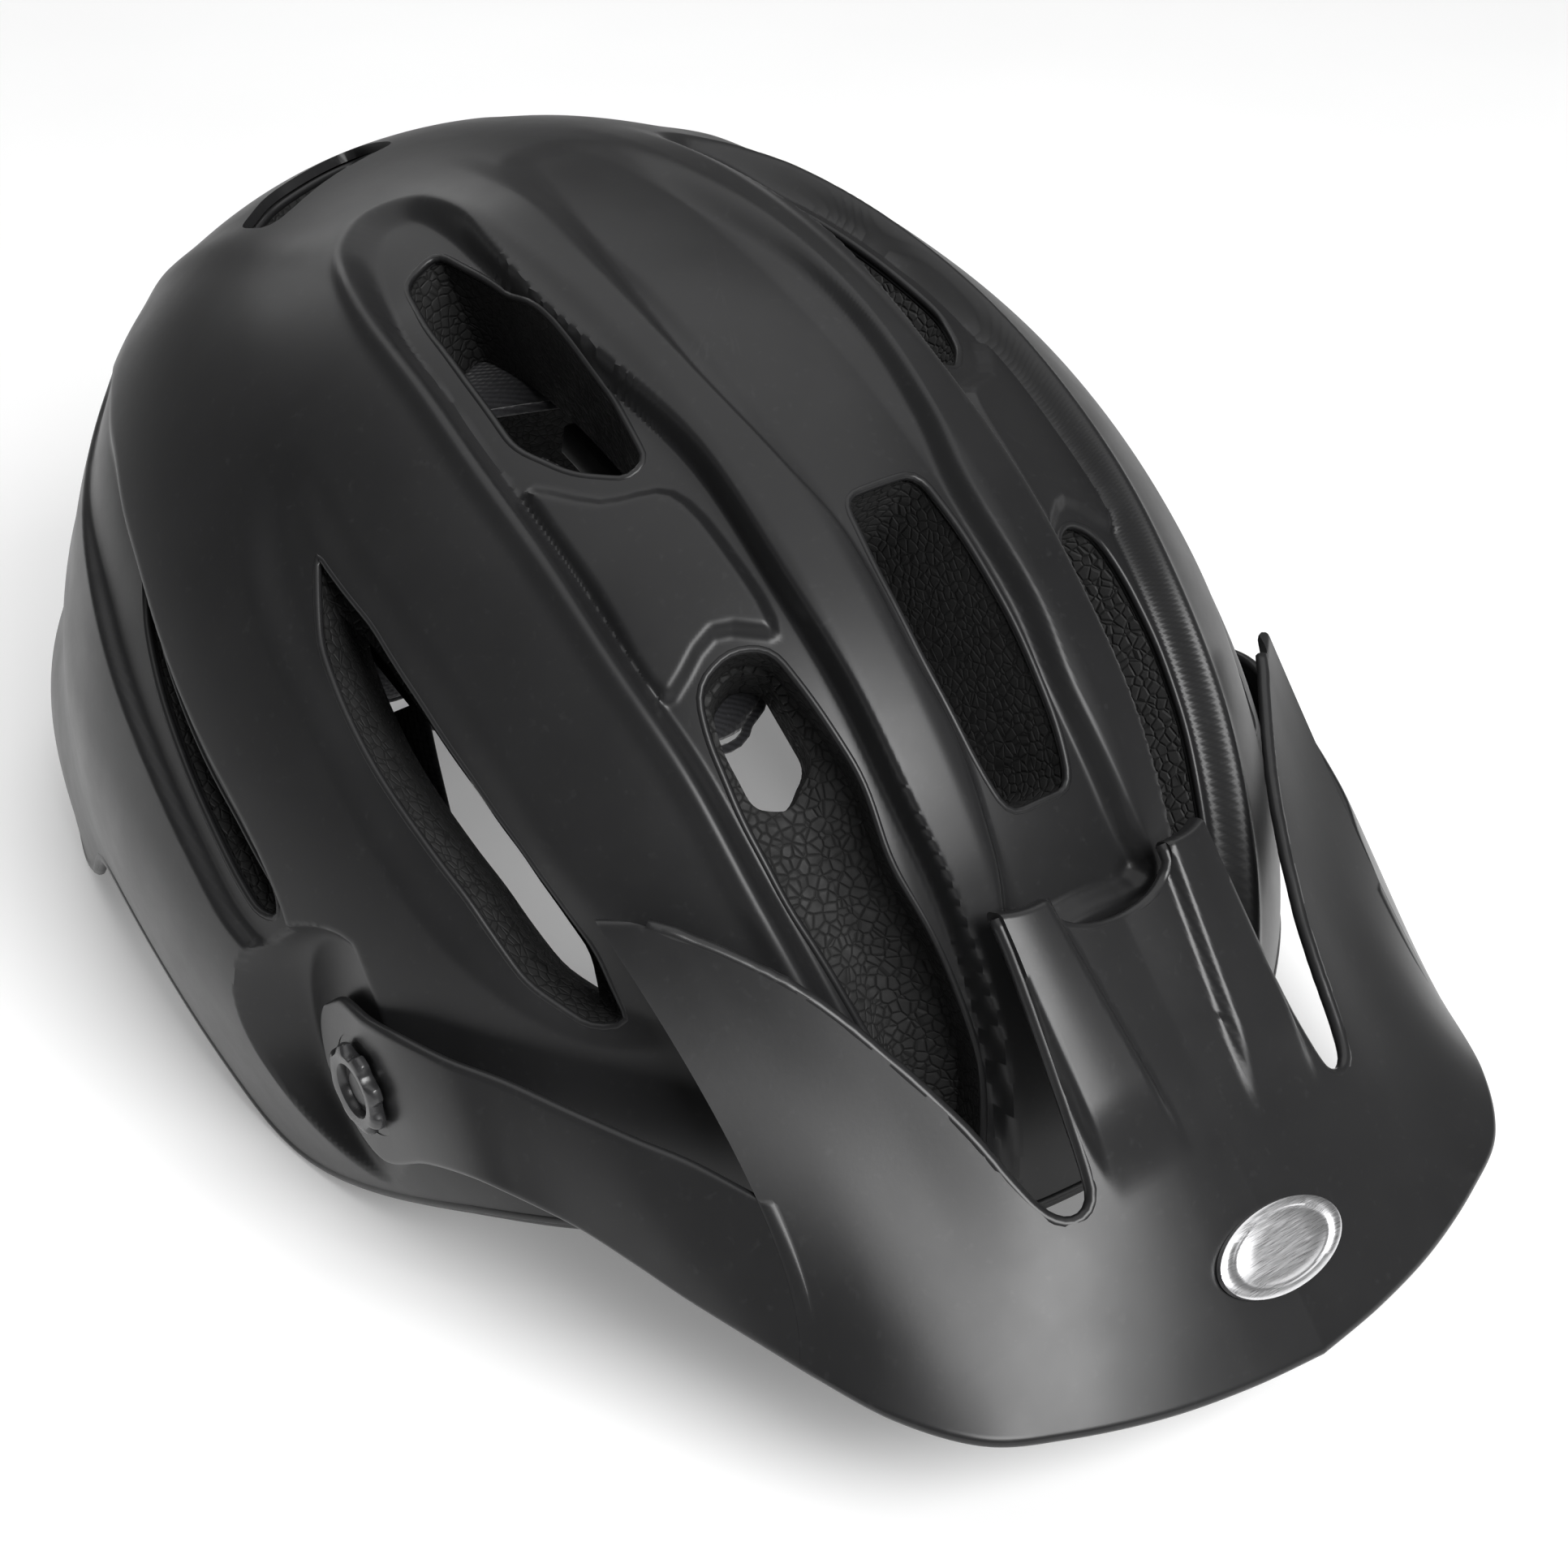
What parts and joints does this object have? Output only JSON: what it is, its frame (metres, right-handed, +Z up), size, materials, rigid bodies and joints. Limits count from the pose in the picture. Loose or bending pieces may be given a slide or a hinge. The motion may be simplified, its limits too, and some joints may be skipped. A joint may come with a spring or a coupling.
{
  "type": "cycling helmet",
  "caption": "Vented trail cycling helmet: moulded skin over a foam liner, tilting peak, dial-tightened head cradle, comfort pads and buckled chin strap.",
  "frame": {"origin": "middle of the helmet's bounding box in plan, on the plane it stands on", "axes": "+Z up, the wearer faces -Y, +X is the wearer's left"},
  "size_m": [0.2118, 0.3274, 0.1528],
  "materials": {
    "shell": "matt moulded polycarbonate skin, fine grain",
    "foam_liner": "black moulded foam, fine beads",
    "visor_plastic": "satin moulded plastic",
    "badge": "plain satin metal plate",
    "brass_insert": "turned brass",
    "fit_plastic": "grey moulded nylon",
    "grip_rubber": "soft black rubber",
    "pad_fabric": "black brushed knit over foam",
    "webbing": "black woven webbing",
    "screw_plastic": "black glass-filled nylon",
    "pinion_plastic": "natural acetal",
    "hardware_plastic": "black acetal"
  },
  "bodies": {
    "root": {"outer_shell": "shell", "eps_liner": "foam_liner", "visor_screw_right": "screw_plastic", "visor_screw_left": "screw_plastic", "visor_washer_right": "hardware_plastic", "visor_washer_left": "hardware_plastic", "visor_insert_right": "brass_insert", "visor_insert_left": "brass_insert", "temple_clip_right": "hardware_plastic", "temple_clip_left": "hardware_plastic", "hanger_anchor": "hardware_plastic", "brow_pad": "pad_fabric", "crown_pad_right": "pad_fabric", "crown_pad_left": "pad_fabric", "side_pad_right": "pad_fabric", "side_pad_left": "pad_fabric", "strap_front_right": "webbing", "strap_front_left": "webbing", "strap_rear_right": "webbing", "strap_rear_left": "webbing", "chin_strap_right": "webbing", "chin_strap_left": "webbing", "strap_divider_right": "hardware_plastic", "strap_divider_left": "hardware_plastic", "strap_anchors": "hardware_plastic", "buckle_female": "hardware_plastic", "strap_keeper": "hardware_plastic"},
    "visor": {"visor": "visor_plastic", "visor_badge": "badge"},
    "harness": {"fit_band_right": "fit_plastic", "fit_band_left": "fit_plastic", "cradle": "fit_plastic", "cradle_lobe_right": "grip_rubber", "cradle_lobe_left": "grip_rubber", "dial_cover": "fit_plastic", "height_hanger": "fit_plastic", "nape_pad": "pad_fabric"},
    "dial": {"fit_dial": "grip_rubber", "dial_pinion": "pinion_plastic"},
    "rack_left": {"fit_rack_left": "hardware_plastic"},
    "rack_right": {"fit_rack_right": "hardware_plastic"},
    "buckle_tongue": {"buckle_male": "hardware_plastic"}
  },
  "joints": [
    {"name": "visor_tilt", "type": "hinge", "parent": "root", "child": "visor", "pos_m": [0, -0.03954, 0.04258], "axis": [-1, 0, 0], "range_deg": [-4, 14]},
    {"name": "cradle_height", "type": "hinge", "parent": "root", "child": "harness", "pos_m": [0, -0.01021, 0.01589], "axis": [1, 0, 0], "range_deg": [0, 5]},
    {"name": "dial_turn", "type": "hinge", "parent": "harness", "child": "dial", "pos_m": [0, 0.11736, 0.01678], "axis": [0, -0.9703, -0.2419], "range_deg": [0, 160]},
    {"name": "rack_left_slide", "type": "slide", "parent": "harness", "child": "rack_left", "axis": [-1, 0, 0], "range_m": [0, 0.0127]},
    {"name": "rack_right_slide", "type": "slide", "parent": "harness", "child": "rack_right", "axis": [1, 0, 0], "range_m": [0, 0.0127]},
    {"name": "buckle_release", "type": "slide", "parent": "root", "child": "buckle_tongue", "axis": [-1, 0, 0], "range_m": [0, 0.018], "deforming": ["chin_strap_right"]}
  ],
  "couplings": [
    {"joint": "rack_left_slide", "follows": "dial_turn", "m_per_rad": 0.0045},
    {"joint": "rack_right_slide", "follows": "dial_turn", "m_per_rad": 0.0045}
  ]
}
